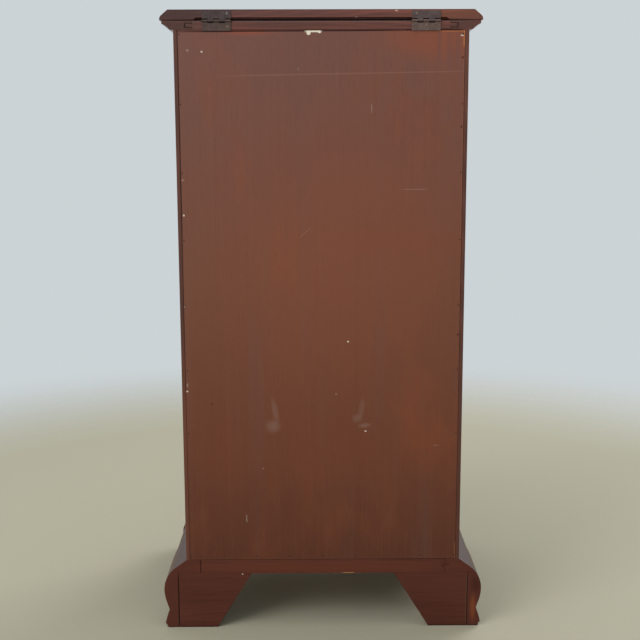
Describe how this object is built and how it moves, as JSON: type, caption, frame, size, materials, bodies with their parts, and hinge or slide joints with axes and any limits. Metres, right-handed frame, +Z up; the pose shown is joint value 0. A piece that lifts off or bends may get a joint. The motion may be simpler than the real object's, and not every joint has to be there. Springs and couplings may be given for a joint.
{
  "type": "lift-top chest of drawers",
  "caption": "Tall narrow chest of drawers with a hinged lifting top over a shallow compartment, graduated drawers with bail handles, and ogee bracket feet.",
  "frame": {"origin": "middle of the floor area that the chest's outline covers, on the floor", "axes": "+Z up, -Y the drawer front, +Y the panelled back, +X the right side seen from the front"},
  "size_m": [0.6572, 0.4714, 1.245],
  "materials": {
    "mahogany": "satin",
    "back_veneer": "satin",
    "dark_mahogany": "gloss",
    "pale_wood": "matte",
    "old_bronze": "dull",
    "aged_brass": "satin"
  },
  "bodies": {
    "case": {"side_panel_left": "mahogany", "side_panel_right": "mahogany", "back_panel": "back_veneer", "back_panel_nails": "old_bronze", "top_frame_side_left": "mahogany", "top_frame_side_right": "mahogany", "top_frame_rear_rail": "mahogany", "top_frame_front_rail": "mahogany", "compartment_floor": "pale_wood", "compartment_front": "mahogany", "front_rails": "mahogany", "drawer_runners": "pale_wood", "case_bottom": "pale_wood", "base_frame_side_left": "dark_mahogany", "base_frame_side_right": "dark_mahogany", "base_frame_rear_rail": "dark_mahogany", "base_frame_front_rail": "dark_mahogany", "rear_foot_side_left": "dark_mahogany", "rear_foot_side_right": "dark_mahogany", "rear_foot_back_left": "dark_mahogany", "rear_foot_back_right": "dark_mahogany", "front_foot_side_left": "dark_mahogany", "front_foot_side_right": "dark_mahogany", "front_foot_front_left": "dark_mahogany", "front_foot_front_right": "dark_mahogany", "foot_glue_blocks": "pale_wood", "case_hinge_leaves": "old_bronze", "hinge_pins": "old_bronze", "case_screws": "old_bronze", "lid_stay_bracket": "aged_brass"},
    "lid": {"lid": "mahogany", "lid_hinge_leaves": "old_bronze", "lid_screws": "old_bronze", "lid_stay_guide": "aged_brass"},
    "stay_arm": {"lid_stay_arm": "aged_brass"},
    "drawer_1": {"drawer_front_1": "mahogany", "drawer_box_1": "pale_wood", "drawer_plates_1": "aged_brass"},
    "drawer_2": {"drawer_front_2": "mahogany", "drawer_box_2": "pale_wood", "drawer_plates_2": "aged_brass"},
    "drawer_3": {"drawer_front_3": "mahogany", "drawer_box_3": "pale_wood", "drawer_plates_3": "aged_brass"},
    "drawer_4": {"drawer_front_4": "mahogany", "drawer_box_4": "pale_wood", "drawer_plates_4": "aged_brass"},
    "drawer_5": {"drawer_front_5": "mahogany", "drawer_box_5": "pale_wood", "drawer_plates_5": "aged_brass"},
    "bail_left_1": {"bail_left_1": "aged_brass"},
    "bail_right_1": {"bail_right_1": "aged_brass"},
    "bail_left_2": {"bail_left_2": "aged_brass"},
    "bail_right_2": {"bail_right_2": "aged_brass"},
    "bail_left_3": {"bail_left_3": "aged_brass"},
    "bail_right_3": {"bail_right_3": "aged_brass"},
    "bail_left_4": {"bail_left_4": "aged_brass"},
    "bail_right_4": {"bail_right_4": "aged_brass"},
    "bail_left_5": {"bail_left_5": "aged_brass"},
    "bail_right_5": {"bail_right_5": "aged_brass"}
  },
  "joints": [
    {"name": "lid_hinge", "type": "hinge", "parent": "case", "child": "lid", "pos_m": [0, 0.23358, 1.2239], "axis": [-1, 0, 0], "range_deg": [0, 95]},
    {"name": "stay_pivot", "type": "hinge", "parent": "case", "child": "stay_arm", "pos_m": [0.2414, 0.17158, 1.2149], "axis": [-1, 0, 0], "range_deg": [0, 124]},
    {"name": "drawer_slide_1", "type": "slide", "parent": "case", "child": "drawer_1", "axis": [0, -1, 0], "range_m": [0, 0.28]},
    {"name": "drawer_slide_2", "type": "slide", "parent": "case", "child": "drawer_2", "axis": [0, -1, 0], "range_m": [0, 0.28]},
    {"name": "drawer_slide_3", "type": "slide", "parent": "case", "child": "drawer_3", "axis": [0, -1, 0], "range_m": [0, 0.28]},
    {"name": "drawer_slide_4", "type": "slide", "parent": "case", "child": "drawer_4", "axis": [0, -1, 0], "range_m": [0, 0.28]},
    {"name": "drawer_slide_5", "type": "slide", "parent": "case", "child": "drawer_5", "axis": [0, -1, 0], "range_m": [0, 0.28]},
    {"name": "bail_left_hinge_1", "type": "hinge", "parent": "drawer_1", "child": "bail_left_1", "pos_m": [-0.15, -0.20062, 1.02661], "axis": [-1, 0, 0], "range_deg": [-12, 95]},
    {"name": "bail_right_hinge_1", "type": "hinge", "parent": "drawer_1", "child": "bail_right_1", "pos_m": [0.15, -0.20062, 1.02661], "axis": [-1, 0, 0], "range_deg": [-12, 95]},
    {"name": "bail_left_hinge_2", "type": "hinge", "parent": "drawer_2", "child": "bail_left_2", "pos_m": [-0.15, -0.20062, 0.85533], "axis": [-1, 0, 0], "range_deg": [-12, 95]},
    {"name": "bail_right_hinge_2", "type": "hinge", "parent": "drawer_2", "child": "bail_right_2", "pos_m": [0.15, -0.20062, 0.85533], "axis": [-1, 0, 0], "range_deg": [-12, 95]},
    {"name": "bail_left_hinge_3", "type": "hinge", "parent": "drawer_3", "child": "bail_left_3", "pos_m": [-0.15, -0.20062, 0.67205], "axis": [-1, 0, 0], "range_deg": [-12, 95]},
    {"name": "bail_right_hinge_3", "type": "hinge", "parent": "drawer_3", "child": "bail_right_3", "pos_m": [0.15, -0.20062, 0.67205], "axis": [-1, 0, 0], "range_deg": [-12, 95]},
    {"name": "bail_left_hinge_4", "type": "hinge", "parent": "drawer_4", "child": "bail_left_4", "pos_m": [-0.15, -0.20062, 0.47677], "axis": [-1, 0, 0], "range_deg": [-12, 95]},
    {"name": "bail_right_hinge_4", "type": "hinge", "parent": "drawer_4", "child": "bail_right_4", "pos_m": [0.15, -0.20062, 0.47677], "axis": [-1, 0, 0], "range_deg": [-12, 95]},
    {"name": "bail_left_hinge_5", "type": "hinge", "parent": "drawer_5", "child": "bail_left_5", "pos_m": [-0.15, -0.20062, 0.26949], "axis": [-1, 0, 0], "range_deg": [-12, 95]},
    {"name": "bail_right_hinge_5", "type": "hinge", "parent": "drawer_5", "child": "bail_right_5", "pos_m": [0.15, -0.20062, 0.26949], "axis": [-1, 0, 0], "range_deg": [-12, 95]}
  ],
  "couplings": [
    {"joint": "stay_pivot", "follows": "lid_hinge", "ratio": 1.3}
  ]
}
